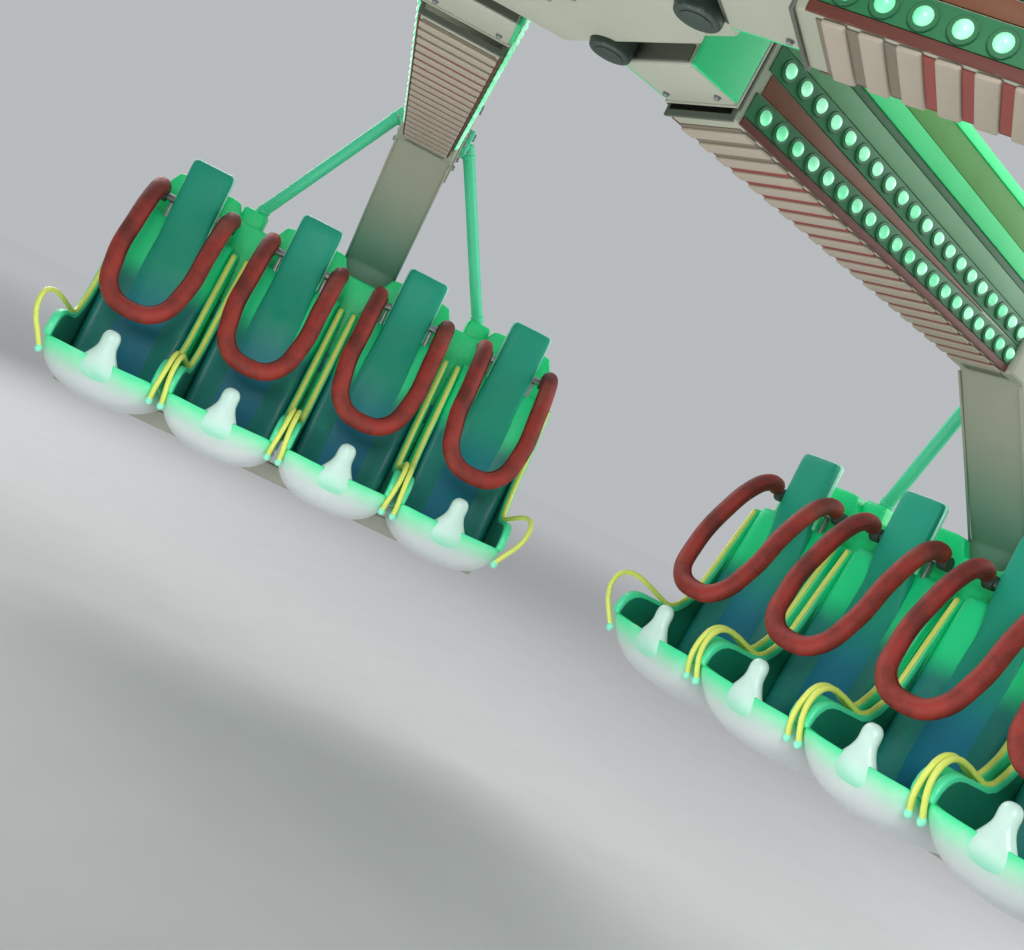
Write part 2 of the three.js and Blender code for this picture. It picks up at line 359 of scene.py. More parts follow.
class Flow:
    """A value in a finish. Expressions on it add Math nodes."""

    def __init__(self, finish, socket):
        self.finish = finish
        self.socket = socket

    def maths(self, operation, first, second):
        return self.finish.node("Math", {"operation": operation}, {0: first, 1: second})

    def __add__(self, other):
        return self.maths("ADD", self, other)

    __radd__ = __add__

    def __sub__(self, other):
        return self.maths("SUBTRACT", self, other)

    def __rsub__(self, other):
        return self.maths("SUBTRACT", other, self)

    def __mul__(self, other):
        return self.maths("MULTIPLY", self, other)

    __rmul__ = __mul__

    def __pow__(self, other):
        return self.maths("POWER", self, other)


class Finish:
    """A material, built node by node around its Principled shader."""

    def __init__(self, name, fixed=None):
        self.material = bpy.data.materials.new(name)
        self.material.use_nodes = True
        self.tree = self.material.node_tree
        self.shader = self.tree.nodes["Principled BSDF"]
        self.worn = None
        for label, value in (fixed or {}).items():
            self.shader.inputs[label].default_value = value

    def node(self, kind, settings=None, values=None, output=0):
        node = self.tree.nodes.new("ShaderNode" + kind)
        for setting, value in (settings or {}).items():
            setattr(node, setting, value)
        for label, value in (values or {}).items():
            self.feed(node.inputs[label], value)
        return Flow(self, node.outputs[output])

    def feed(self, socket, value):
        if isinstance(value, Flow):
            self.tree.links.new(value.socket, socket)
        else:
            socket.default_value = value

    def place(self):
        return self.node("Attribute", {"attribute_name": "own_place"}, output="Vector")

    def stretched(self, scale):
        return self.node("Mapping", None, {"Vector": self.place(), "Scale": scale})

    def part(self, axis):
        return self.node("SeparateXYZ", None, {0: self.place()}, output=axis)

    def noise(self, scale, detail, place=None):
        return self.node("TexNoise", None, {"Vector": place or self.place(), "Scale": scale,
                                            "Detail": detail, "Roughness": 0.55})

    def ramp(self, value, low, high):
        """0 below low, 1 above high."""
        return self.node("MapRange", {"interpolation_type": "SMOOTHSTEP"},
                         {"Value": value, "From Min": low, "From Max": high})

    def blend(self, factor, first, second):
        """Mixes two colours. A tuple is a colour as the eye sees it."""
        first, second = (linear(side) if isinstance(side, tuple) else side for side in (first, second))
        return self.node("Mix", {"data_type": "RGBA"}, {0: factor, 6: first, 7: second}, output=2)

    def end(self, colour, roughness, height=None, depth=0.001):
        self.feed(self.shader.inputs["Base Color"], colour)
        self.feed(self.shader.inputs["Roughness"], roughness)
        if height is not None:
            bump = self.node("Bump", None, {"Height": height, "Distance": depth, "Strength": 0.6})
            self.feed(self.shader.inputs["Normal"], bump)
        return self


GREY = (0.56, 0.57, 0.53)
PALE_MINT = (0.58, 0.94, 0.80)


def paint(name, colour, dirt, worn=GREY, gloss=0.46, grime=0.22, lift=None):
    """Sprayed paint on steel or laminate: cloudy tone, faint streaks and dusty patches, with a second
    finish for its edges, where it is rubbed. lift is a second colour and the heights between which
    the colour turns to it: painted green light on the beam's leg, a darker lower part on the row panel."""
    finishes = []
    for rubbing in (0, 1):
        label = name + "_edge" * rubbing
        finish = Finish(label, {"Coat Weight": 0.06, "Coat Roughness": 0.3})
        cloud = finish.noise(1.6, 4)
        speck = finish.noise(70, 4)
        streak = finish.noise(6, 5, finish.stretched((1.3, 1.3, 0.65)))
        tone = finish.blend(cloud * 0.35, colour, darker(colour, 0.80))
        if lift:
            second, low, high = lift
            tone = finish.blend(finish.ramp(finish.part("Z") + cloud * 0.05, low, high), tone, second)
        dusty = finish.ramp(streak * 0.55 + speck * 0.45, 0.48, 0.82) * grime
        tone = finish.blend(dusty, tone, dirt)
        if rubbing:
            chips = finish.ramp(finish.noise(60, 6), 0.56, 0.66)
            tone = finish.blend(chips * 0.22, tone, worn)
            dusty = dusty + chips * 0.2
        roughness = gloss + dusty * 0.35 + speck * 0.06
        finishes.append(finish.end(tone, roughness, speck * 0.5 + streak * 0.1, 0.0005))
    finishes[0].worn = finishes[1]
    return finishes[0]


def bare_steel(name, colour, stain, rough=0.36):
    """Machined or zinc-coated steel with turning marks and stains."""
    finish = Finish(name, {"Metallic": 0.9})
    grain = finish.noise(18, 6, finish.stretched((1, 1, 22)))
    patch = finish.ramp(finish.noise(9, 6), 0.35, 0.85)
    tone = finish.blend(grain * 0.35, colour, darker(colour, 0.6))
    tone = finish.blend(patch * 0.3, tone, stain)
    return finish.end(tone, rough + patch * 0.10 + grain * 0.12, grain, 0.0004)


def shell(name, top, bottom, low, high, scuffed, gloss=0.34, coat=0.22):
    """Gel-coated glass laminate: colour that deepens downwards, fine speckle and soft rubbed patches."""
    finish = Finish(name, {"Coat Weight": coat, "Coat Roughness": 0.16})
    cloud = finish.noise(2.4, 4)
    speck = finish.noise(140, 3)
    height = finish.part("Z") + (cloud - 0.5) * 0.08
    tone = finish.blend(finish.ramp(height, low, high), bottom, top)
    tone = finish.blend(speck * 0.14, tone, darker(bottom, 0.6))
    rubbed = finish.ramp(finish.noise(7, 6), 0.52, 0.74)
    tone = finish.blend(rubbed * 0.16, tone, scuffed)
    return finish.end(tone, gloss + rubbed * 0.18 + speck * 0.08, speck + cloud, 0.0005)


def vinyl(name, colour, deep, dust):
    """Padded vinyl sleeve with a leather grain, paler where it is rubbed and darker in its folds."""
    finish = Finish(name, {"Specular IOR Level": 0.42})
    grain = finish.node("TexVoronoi", {"feature": "DISTANCE_TO_EDGE"},
                        {"Vector": finish.place(), "Scale": 190.0})
    pores = finish.ramp(grain, 0.0, 0.22)
    cloud = finish.noise(7, 5)
    fold = finish.noise(16, 4, finish.stretched((1, 3, 1)))
    tone = finish.blend(finish.ramp(cloud, 0.35, 0.68), colour, deep)
    tone = finish.blend((1 - pores) * 0.35, tone, darker(deep, 0.5))
    handled = finish.ramp(finish.noise(4, 6), 0.56, 0.74) * 0.35
    tone = finish.blend(handled, tone, dust)
    return finish.end(tone, 0.50 + cloud * 0.18 - handled * 0.25, pores * 0.35 + fold, 0.0022)


def lamp_lens(name, core, edge):
    """Moulded lamp cap with a lit core and fine flutes."""
    finish = Finish(name, {"Emission Strength": 0.45, "Coat Weight": 0.3})
    flutes = finish.noise(85, 2)
    spread = finish.noise(7.5, 2)
    glow = finish.blend(finish.ramp(spread, 0.35, 0.65), core, edge)
    finish.feed(finish.shader.inputs["Emission Color"], glow)
    return finish.end(glow, 0.22 + flutes * 0.2, flutes, 0.0012)


white_paint = paint("white_paint", (0.67, 0.68, 0.62), (0.56, 0.53, 0.48))
# The leg turns greener lower down: painted green light, the glow of the row frames' lamps on it.
beam_paint = paint("beam_paint", (0.63, 0.64, 0.57), (0.50, 0.48, 0.43),
                   lift=((0.38, 0.53, 0.45), up(1.35), up(0.9)))
# Dark grey: the root flange's own colour, and painted shade on the strip in each stub's recess.
joint_and_shade_paint = paint("joint_and_shade_paint", (0.33, 0.35, 0.31), (0.24, 0.22, 0.19), gloss=0.55)
pale_bars = paint("pale_bars", (0.66, 0.61, 0.55), (0.52, 0.46, 0.41), grime=0.25)
brown_panel = paint("brown_panel", (0.42, 0.22, 0.09), (0.28, 0.19, 0.10), (0.52, 0.34, 0.2), 0.55)
umber = paint("umber_ground", (0.46, 0.42, 0.36), (0.25, 0.2, 0.16), gloss=0.6)
crimson = paint("crimson_ground", (0.54, 0.24, 0.22), (0.35, 0.14, 0.13), gloss=0.6)
lamp_ground = paint("lamp_ground", (0.38, 0.17, 0.13), (0.18, 0.20, 0.12), gloss=0.6)
upper_ground = paint("upper_ground", (0.13, 0.42, 0.26), (0.20, 0.24, 0.14), gloss=0.6)
olive = paint("olive_band", (0.24, 0.52, 0.18), (0.30, 0.38, 0.12), gloss=0.6)
bright_green = paint("bright_green_band", (0.16, 0.78, 0.46), (0.10, 0.48, 0.28), gloss=0.6)
dull_green = paint("dull_green_band", (0.33, 0.54, 0.38), (0.30, 0.36, 0.24), gloss=0.6)
mint_edge = paint("mint_edge", (0.16, 0.93, 0.55), (0.12, 0.60, 0.36), PALE_MINT, 0.5)
dark_groove = paint("dark_groove", (0.08, 0.32, 0.16), (0.06, 0.14, 0.08), gloss=0.6)
lamp_collar = paint("lamp_collar", (0.08, 0.38, 0.22), (0.07, 0.24, 0.14), gloss=0.5)
hub_green = paint("hub_green", (0.13, 0.78, 0.50), (0.10, 0.52, 0.32), PALE_MINT)
mint_panel = paint("mint_panel", (0.03, 0.88, 0.54), (0.04, 0.50, 0.32), PALE_MINT, 0.4, 0.4,
                   lift=((0.02, 0.70, 0.44), up(0.30), up(-0.1)))
aqua_paint = paint("aqua_paint", (0.30, 0.84, 0.64), (0.18, 0.56, 0.42), PALE_MINT)
yellow_trim = paint("yellow_trim", (0.86, 0.90, 0.42), (0.68, 0.58, 0.24), (0.70, 0.66, 0.34), 0.34)
dark_cover = paint("dark_cover", (0.17, 0.23, 0.20), (0.10, 0.10, 0.09), gloss=0.5)
motor_paint = paint("motor_paint", (0.24, 0.30, 0.34), (0.12, 0.12, 0.12), gloss=0.48)
zinc = bare_steel("zinc_plate", (0.66, 0.68, 0.69), (0.46, 0.45, 0.42))
ring_steel = bare_steel("ring_steel", (0.56, 0.57, 0.59), (0.32, 0.28, 0.24), 0.30)
flange_steel = bare_steel("flange_steel", (0.52, 0.53, 0.54), (0.38, 0.24, 0.15), 0.42)
# The white hull turns green towards its top, at the front lip that faces the hub: painted green light.
hull_white = shell("hull_white", (0.13, 0.90, 0.60), (0.80, 0.83, 0.83),
                   up(-0.29), up(-0.14), (0.86, 0.93, 0.90))
horn_white = shell("horn_white", (0.80, 0.90, 0.87), (0.56, 0.88, 0.75),
                   up(-0.27), up(-0.14), (0.90, 0.95, 0.93))
pan_shell = shell("pan_shell", (0.02, 0.50, 0.50), (0.02, 0.48, 0.52),
                  up(-0.2), up(0.2), (0.10, 0.52, 0.50), gloss=0.5, coat=0.06)
back_mint = shell("back_mint", (0.05, 0.88, 0.56), (0.02, 0.48, 0.45),
                  up(0.22), up(0.38), (0.25, 0.88, 0.62), gloss=0.5, coat=0.08)
teal_pad = shell("teal_pad", (0.01, 0.60, 0.48), (0.00, 0.45, 0.56),
                 up(0.05), up(0.40), (0.06, 0.58, 0.50), gloss=0.62, coat=0.04)
wing_shell = shell("wing_shell", (0.08, 0.84, 0.56), (0.28, 0.86, 0.62),
                   up(-0.1), up(0.5), (0.60, 0.94, 0.82))
# Darker green for a sheet on the wings' inner faces: painted shade, as those faces lie in shadow.
wing_inner_shade = shell("wing_inner_shade", (0.04, 0.60, 0.38), (0.02, 0.42, 0.32),
                    up(-0.1), up(0.5), (0.05, 0.36, 0.22), gloss=0.5)
pale_shell = shell("pale_shell", (0.70, 0.97, 0.88), (0.55, 0.94, 0.80),
                   up(0.6), up(0.95), (0.88, 0.99, 0.96))
red_vinyl = vinyl("red_vinyl", (0.64, 0.19, 0.15), (0.42, 0.14, 0.11), (0.58, 0.36, 0.27))
red_piping = vinyl("red_piping", (0.44, 0.13, 0.10), (0.30, 0.10, 0.08), (0.44, 0.28, 0.22))
lens = lamp_lens("lamp_lens", (0.66, 0.95, 0.80), (0.46, 0.88, 0.66))


scene = bpy.context.scene

# Camera at eye height over the fifth row, held tilted
EYE = Vector((-1.484, -2.940, up(0.316)))
FORWARD = Vector((0.620, 0.784, -0.018)).normalized()
DOWN = Vector((0.336, -0.287, -0.897))
DOWN = (DOWN - FORWARD * DOWN.dot(FORWARD)).normalized()
RIGHT = DOWN.cross(FORWARD)
view = bpy.data.cameras.new("view")
view.sensor_width = 36
view.lens = 43.81
view.clip_start = 1.1
view.clip_end = 60
camera = bpy.data.objects.new("camera", view)
camera.matrix_world = Matrix.Translation(EYE) @ Matrix((RIGHT, -DOWN, -FORWARD)).transposed().to_4x4()
scene.collection.objects.link(camera)
scene.camera = camera


def area_light(name, place, target, size, power):
    lamp = bpy.data.lights.new(name, "AREA")
    lamp.shape = "DISK"
    lamp.size = size
    lamp.energy = power
    holder = bpy.data.objects.new(name, lamp)
    holder.location = place
    holder.rotation_euler = (Vector(target) - Vector(place)).to_track_quat("-Z", "Y").to_euler()
    scene.collection.objects.link(holder)


MIDDLE = (0, 0, up(0.8))
area_light("key_light", (-9.0, -10.5, 3.5), MIDDLE, 8.0, 1200)
area_light("fill_light", (8.0, -3.0, 1.5), MIDDLE, 7.0, 420)
area_light("back_light", (1.0, 9.0, 3.0), MIDDLE, 7.0, 480)
area_light("low_light", (0, 0, up(-1.1)), MIDDLE, 4.0, 80)
area_light("front_light", (-2.6, -4.4, -0.4), (1.2, 1.6, up(0.3)), 1.6, 100)
studio = bpy.data.worlds.new("studio")
studio.use_nodes = True
backdrop = studio.node_tree.nodes["Background"].inputs
backdrop["Color"].default_value = (0.80, 0.83, 0.86, 1)
backdrop["Strength"].default_value = 0.60
scene.world = studio
scene.view_settings.view_transform = "Standard"

FLOOR = up(-1.25)
bpy.ops.mesh.primitive_circle_add(vertices=96, radius=90, fill_type="NGON", location=(0, 0, FLOOR))
floor = settle(named("studio_floor"))
floor_finish = Finish("studio_floor")
# The floor is paler far out: painted light, making up for the lamps that do not reach there, so that it
# meets the backdrop.
reach = (floor_finish.part("X") ** 2.0 + floor_finish.part("Y") ** 2.0) ** 0.5
near_tone = floor_finish.blend(floor_finish.noise(3, 5), (0.76, 0.76, 0.76), (0.73, 0.73, 0.73))
tone = floor_finish.blend(floor_finish.ramp(reach, 6.0, 36.0), near_tone, (0.985, 0.985, 0.985))
floor_finish.end(tone, 0.9)
keep_place(floor)
cover(floor, floor_finish)


def beam_low(x):
    return ROOT_LOW + (x - BEAM_ROOT) / (ELBOW[0] - BEAM_ROOT) * (ELBOW[1] - ROOT_LOW)


def beam_high(x):
    return ROOT_HIGH - (x - BEAM_ROOT) * TOP_SLOPE


def narrowing(x):
    return 1 - (1 - ARM_HALF / ROOT_HALF) * (x - BEAM_ROOT) / (TAPER_END - BEAM_ROOT)


def side_half(x, height):
    """Half the beam's width at a radius and a height. It is narrower below than above."""
    rise = (height - beam_low(x)) / (beam_high(x) - beam_low(x))
    return narrowing(x) * (ROOT_HALF_LOW + rise * (ROOT_HALF - ROOT_HALF_LOW))


def upper_lamps(x):
    return 1.684 - 0.064 * (x - 0.9)


def green_line(x):
    return 1.860 - 0.065 * (x - 0.9)


def panel_high(x):
    """Upper edge of the brown panel, which tapers to a point."""
    start_high = upper_lamps(PANEL_START) - 0.046
    fall = (start_high - beam_low(PANEL_POINT) - 0.112) / (PANEL_POINT - PANEL_START)
    return start_high - fall * (x - PANEL_START)


def above(line, rise):
    """A line of height moved up by rise."""
    return lambda x: line(x) + rise


BOLT_TURNS = {"X": (0, math.pi / 2, 0), "Y": (-math.pi / 2, 0, 0), "Z": (0, 0, 0),
              "-Z": (math.pi, 0, 0)}


def hex_bolt(name, place, size, facing="Z"):
    """A washer and a chamfered hexagon head of the given half width, its top facing along an axis."""
    washer = rod("washer", (0, 0, 0), (0, 0, size * 0.25), size * 1.25, 16)
    head = rod("head", (0, 0, size * 0.22), (0, 0, size * 1.02), size, 6)
    bolt = joined(name, [washer, soften(head, size * 0.12, 1)])
    bolt.rotation_euler = BOLT_TURNS[facing]
    bolt.location = place
    return cover(settle(bolt), zinc)


def finish_piece(piece, body, slot, *nodes):
    """Puts the piece on its body, in place of the CAD nodes that it stands for. slot is not used."""
    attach(piece, body)
    if nodes:
        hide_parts(*nodes)


# Fixed flange, bearing ring and drives
def flange():
    """Flange plate with a chamfered rim and a groove in its face, bolts and dowels below."""
    low, chamfer = -FLANGE_THICK, 0.004
    rim = FLANGE_RADIUS - chamfer
    plate = turned("flange_plate", [
        (0, low), (rim, low), (FLANGE_RADIUS, low + chamfer), (FLANGE_RADIUS, -chamfer), (rim, 0),
        (0.800, 0), (0.798, -0.003), (0.795, -0.003), (0.793, 0), (0, 0)], 96)
    bolts = ringed(hex_bolt("flange_bolts", (0.790, 0, low), 0.020, "-Z"), 24)
    dowel = rod("dowels", (0.720, 0.20, low - 0.012), (0.720, 0.20, low + 0.01), 0.028)
    dowels = ringed(soften(dowel, 0.003), 6)
    return joined("top_flange", [cover(plate, flange_steel), bolts, cover(dowels, zinc)])


finish_piece(keep_place(flange()), "root", "flange_steel", "arm_flange")


def race(name, low, high, count):
    """A ring of the slewing bearing with grooved rims and grease nipples."""
    low, high = up(low), up(high)
    inner, outer = RING_INNER, RING_OUTER
    groove = outer - 0.010
    body = turned(name, [
        (inner, low), (outer - 0.006, low), (outer, low + 0.006), (outer, low + 0.022),
        (groove, low + 0.026), (groove, high - 0.026), (outer, high - 0.022), (outer, high - 0.006),
        (outer - 0.006, high), (inner, high), (inner, low)], 96)
    middle = (low + high) / 2
    nipple = rod("grease_nipples", (outer - 0.014, 0, middle), (outer - 0.002, 0, middle), 0.008, 10)
    nipples = ringed(soften(nipple, 0.001, 1), count)
    return joined(name, [cover(body, ring_steel), cover(nipples, zinc)])


finish_piece(keep_place(race("bearing_race", *FIXED_RING, 12)), "root", "ring_steel", "bearing_ring")
finish_piece(keep_place(race("slewing_race", *TURNING_RING, 16)), "gondola", "ring_steel",
             "slewing_ring")


def drive():
    """A flanged motor that stands on the top flange: finned barrel, fan cowl and terminal box."""
    foot = turned("drive_foot", [
        (0, 0.001), (0.105, 0.001), (0.105, 0.022), (0.100, 0.026), (0.078, 0.030), (0.078, 0.060),
        (0.072, 0.066), (0, 0.066)], 40)
    barrel = turned("drive_barrel", [(0, 0.06), (0.074, 0.06), (0.074, 0.25), (0, 0.25)], 40)
    cowl = turned("drive_cowl", [
        (0, 0.245), (0.090, 0.245), (0.092, 0.250), (0.092, 0.305), (0.080, 0.322), (0.050, 0.328),
        (0, 0.329)], 40)
    fin = soften(block("drive_fins", (0.070, -0.002, 0.075), (0.088, 0.002, 0.238)), 0.001, 1)
    fins = ringed(fin, 28)
    box = soften(block("drive_box", (-0.040, 0.066, 0.11), (0.040, 0.103, 0.20)), 0.006)
    gland = soften(rod("drive_gland", (0, 0.085, 0.085), (0, 0.085, 0.112), 0.013, 12), 0.002, 1)
    body = cover(joined("drive_body", [foot, barrel, cowl, fins, box, gland]), motor_paint)
    bolts = ringed(hex_bolt("drive_bolts", (0.090, 0, 0.024), 0.009), 8)
    whole = joined("spin_drive", [body, bolts])
    whole.location.x = DRIVE_ORBIT
    return settle(whole)


drive_model = drive()
for place, turn in enumerate((math.pi / 2, 3 * math.pi / 2), 1):
    unit = keep_place(copy_of(drive_model, f"spin_drive_{place}", turn=turn))
    finish_piece(unit, "root", "motor_housing", f"spin_motor_{place}")
bpy.data.objects.remove(drive_model)


# Hub
def root_frame(name, x, thick, proud):
    """A plate across the stub's outer end or the arm's root, narrower below like the arm."""
    low, high = STUB_HALF_LOW + proud, STUB_HALF + proud
    foot, head = up(STUB_LOW - proud), up(STUB_HIGH + proud)
    outline = [(x, -low, foot), (x, low, foot), (x, high, head), (x, -high, head)]
    return prism(name, outline, (thick, 0, 0))


def hub():
    """Six-sided core with a boxed stub for every arm, painted green on the stubs' sides."""
    core = edged(hexagon("core", CORE_APOTHEM, up(CORE_LOW), up(CORE_HIGH)), white_paint, 0.012, 3)
    side = [(STUB_START, CORE_LOW), (STUB_STEP, CORE_LOW), (STUB_STEP, STUB_LOW), (STUB_OUTER, STUB_LOW),
            (STUB_OUTER, STUB_HIGH), (STUB_START, STUB_HIGH)]
    stub = side_plate("stub", side, -STUB_HALF, 2 * STUB_HALF)
    edit(stub)
    bpy.ops.mesh.select_all(action="DESELECT")
    leave_edit()
    for vertex in stub.data.vertices:
        vertex.select = vertex.co.z < up(CORE_LOW + 0.01)
    edit(stub)
    bpy.ops.transform.resize(value=(1, STUB_HALF_LOW / STUB_HALF, 1), center_override=(0, 0, 0))
    leave_edit()
    edged(stub, white_paint, 0.012, 3)
    low, high = STUB_HALF_LOW - 0.003, STUB_HALF - 0.004
    outline = [(0.642, low, 1.503), (0.854, low, 1.503), (0.854, high, 2.020), (0.626, high, 2.020)]
    cheek = prism("stub_cheek", [(x, y, up(z)) for x, y, z in outline], (0, 0.014, 0))
    cheek = mirrored(edged(cheek, hub_green, 0.012, 4))
    collar = edged(root_frame("stub_collar", 0.856, 0.011, 0.006), white_paint, 0.003)
    # Dark strip on the stub's inner face: painted shade, as that face lies in shadow.
    recess = block("stub_shade_strip", (0.630, -0.148, up(1.506)), (0.6405, 0.148, up(1.5595)))
    edged(recess, joint_and_shade_paint, 0.003)
    pin = edged(rod("hub_pins", (*PIN, up(1.480)), (*PIN, up(1.570)), 0.0675, 32), dark_cover, 0.010, 3)
    disc = rod("hub_pin_discs", (*PIN, up(1.476)), (*PIN, up(1.484)), 0.046, 28)
    edged(disc, dark_cover, 0.003)
    heads = [hex_bolt("stub_bolts", (0.815, y, up(STUB_LOW + 0.001)), 0.010, "-Z")
             for y in (-0.115, 0.115)]
    sector = joined("hub_sector", [stub, cheek, collar, recess, pin, disc] + heads)
    return joined("hub_body", [core, ringed(sector, ARMS)])


finish_piece(keep_place(hub()), "gondola", "hub_paint", "hub_drum")


def underplate():
    """Plate under the core, with a notch around every pin."""
    low, high = map(up, UNDERPLATE)
    plate = hexagon("plate", UNDERPLATE_APOTHEM, low, high)
    notch = ringed(rod("notch", (*PIN, low - 0.05), (*PIN, high + 0.05), 0.070, 32), ARMS)
    apply(plate, "BOOLEAN", object=notch, operation="DIFFERENCE")
    bpy.data.objects.remove(notch)
    edged(plate, white_paint, 0.008, 3)
    bolts = ringed(hex_bolt("plate_bolts", (0.300, 0.0, low), 0.012, "-Z"), 2 * ARMS)
    return joined("hub_floor", [plate, bolts])


finish_piece(keep_place(underplate()), "gondola", "hub_paint", "hub_underplate")


def centre_cover():
    """Stepped round cover under the middle of the hub."""
    top = up(CAP_TOP)
    steps = ((0, -0.070), (0.150, -0.070), (0.188, -0.066), (0.196, -0.060), (0.252, -0.038),
             (0.258, -0.030), (0.260, -0.012), (0.260, 0), (0, 0))
    cap = turned("hub_cap", [(radius, top + height) for radius, height in steps], 64)
    bolts = ringed(hex_bolt("cap_bolts", (0.232, 0, top - 0.046), 0.010, "-Z"), 12)
    return joined("hub_cap", [cover(cap, dark_cover), bolts])


finish_piece(keep_place(centre_cover()), "gondola", "dark_cover", "hub_centre_cover")


def top_plate():
    """Round plate between the drum and the slewing ring."""
    low, high = map(up, TOP_PLATE)
    rim, chamfer = LID_RADIUS, 0.004
    lid = turned("hub_lid", [(0, low), (rim - chamfer, low), (rim, low + chamfer),
                             (rim, high - chamfer), (rim - chamfer, high), (0, high)], 96)
    bolts = ringed(hex_bolt("lid_bolts", (0.645, 0, high), 0.014), 24)
    return joined("hub_lid", [cover(lid, white_paint), bolts])


finish_piece(keep_place(top_plate()), "gondola", "hub_paint", "hub_top_plate")


# Arm
def arm_box():
    """Box beam that tapers outwards, with the leg that slopes out and down behind the seats."""
    root = [(BEAM_ROOT, -ROOT_HALF_LOW, up(ROOT_LOW)), (BEAM_ROOT, ROOT_HALF_LOW, up(ROOT_LOW)),
            (BEAM_ROOT, ROOT_HALF, up(ROOT_HIGH)), (BEAM_ROOT, -ROOT_HALF, up(ROOT_HIGH))]
    run = (ELBOW[0] - BEAM_ROOT, 0, ELBOW[1] - ROOT_LOW)
    flatter = (beam_high(ELBOW[0]) - ELBOW[1]) / (ROOT_HIGH - ROOT_LOW)
    beam = grown("beam", root, [(run, (1, narrowing(ELBOW[0]), flatter), (ELBOW[0], 0, up(ELBOW[1])))])
    side = [(KNEE_START, beam_low(KNEE_START)), ELBOW, (3.400, 0.850), (3.400, -0.180), (3.590, -0.180),
            (3.590, 1.030), (3.200, 1.385), (3.180, 1.800), (3.060, 1.915),
            (KNEE_START, beam_high(KNEE_START))]
    knee = side_plate("knee", side, -ARM_HALF, 2 * ARM_HALF)
    return joined("arm_box", [edged(part, beam_paint, 0.012, 3) for part in (beam, knee)])


def band(name, low, high, finish, rise, start=0.905, end=DRESSING_END, edge=0.002):
    """A plate along both sides of the beam, between two lines of height."""
    stops = [start + (end - start) * share for share in (0, 0.25, 0.5, 0.75, 1)]
    outline = [(x, side_half(x, low(x)) - 0.003, up(low(x))) for x in stops]
    outline += [(x, side_half(x, high(x)) - 0.003, up(high(x))) for x in reversed(stops)]
    plate = prism(name, outline, (0, rise + 0.003, 0))
    return mirrored(edged(plate, finish, edge))


def lamp():
    """A half-round lamp cap in its collar, facing along Y."""
    deselect()
    bpy.ops.mesh.primitive_uv_sphere_add(segments=12, ring_count=8, radius=LAMP_RADIUS)
    dome = named("dome")
    bpy.ops.object.mode_set(mode="EDIT")
    bpy.ops.mesh.select_all(action="SELECT")
    bpy.ops.mesh.bisect(plane_co=(0, 0, 0), plane_no=(0, 1, 0), use_fill=True, clear_inner=True)
    leave_edit()
    bpy.ops.object.shade_smooth_by_angle(angle=math.radians(50))
    cover(dome, lens)
    collar = rod("collar", (0, -0.002, 0), (0, 0.006, 0), COLLAR_RADIUS, 14)
    edged(collar, lamp_collar, 0.002, 1)
    return joined("lamp", [dome, collar])


def lamp_row(name, height):
    """A row of lamps along both sides of the beam."""
    gaps = LAMP_COUNT - 1
    start, end = (Vector((x, side_half(x, height(x)), up(height(x))))
                  for x in (LAMP_START, LAMP_START + LAMP_PITCH * gaps))
    first = lamp()
    first.name = name
    first.location = start + Vector((0, 0.005, 0))
    return mirrored(repeated(settle(first), LAMP_COUNT, (end - start) / gaps))


def under_bars():
    """Rounded cross bars under the beam, on a ground that is umber at the root and crimson beyond."""
    pieces = []
    for start, end, finish in ((0.93, 1.16, umber), (1.16, 2.66, crimson)):
        corners = [(x, side * (side_half(x, beam_low(x)) - 0.014), up(beam_low(x)) + 0.003)
                   for x, side in ((start, -1), (end, -1), (end, 1), (start, 1))]
        ground = prism("ground", corners, (0, 0, -0.007))
        pieces.append(edged(ground, finish, 0.001, 1))
    for place in range(LAMP_COUNT):
        x = LAMP_START + LAMP_PITCH * place
        low = up(beam_low(x))
        reach = side_half(x, beam_low(x)) - 0.004
        bar = block("bar", (x - 0.029, -reach, low - 0.012), (x + 0.029, reach, low + 0.001))
        pieces.append(edged(bar, pale_bars, 0.006, 3))
    return pieces


def arm_fittings():
    """Root flange, elbow splice plates, leg ribs and access covers with their bolts."""
    thick = 0.012
    plate = root_frame("root_flange", BEAM_ROOT, thick, 0.008)
    foot = block("flange_foot", (BEAM_ROOT, -0.154, up(1.456)), (BEAM_ROOT + thick, 0.154, up(1.520)))
    flange_plate = edged(joined("root_flange", [plate, foot]), joint_and_shade_paint, 0.003)
    outline = [(2.80, 1.50), (3.02, 1.36), (3.12, 1.44), (3.12, 1.46), (2.98, 1.78), (2.80, 1.80)]
    splice = edged(side_plate("splice", outline, ARM_HALF - 0.003, 0.013), beam_paint, 0.004)
    spots = ((2.84, 1.54), (2.98, 1.44), (2.84, 1.74), (2.95, 1.74), (3.05, 1.50), (3.00, 1.62))
    heads = [hex_bolt("splice_bolt", (x, ARM_HALF + 0.010, up(z)), 0.013, "Y") for x, z in spots]
    sides = mirrored(joined("splice", [splice] + heads))
    outline = [(3.588, -0.15), (3.606, -0.13), (3.606, 0.96), (3.588, 0.99)]
    rib = side_plate("leg_rib", outline, 0.075, 0.014)
    ribs = mirrored(edged(rib, beam_paint, 0.003, 1))
    hatch = block("leg_hatch", (3.584, -0.055, up(0.30)), (3.598, 0.055, up(0.56)))
    edged(hatch, dark_cover, 0.005)
    corners = [hex_bolt("hatch_bolt", (3.597, y, up(z)), 0.008, "X")
               for y in (-0.042, 0.042) for z in (0.315, 0.545)]
    seam = [(x, ARM_HALF - 0.004, up(z)) for x, z in ((3.398, 0.84), (3.10, 1.118), (2.785, 1.404))]
    welds = mirrored(cover(tube("weld_low", seam, 0.006, 2), beam_paint))
    return [flange_plate, sides, ribs, hatch, welds] + corners


def strip_foot(x):
    """Lower edge of the upper lamp strip, which follows the panel and then the lower strip."""
    return max(panel_high(x), beam_low(x) + 0.106) + 0.004


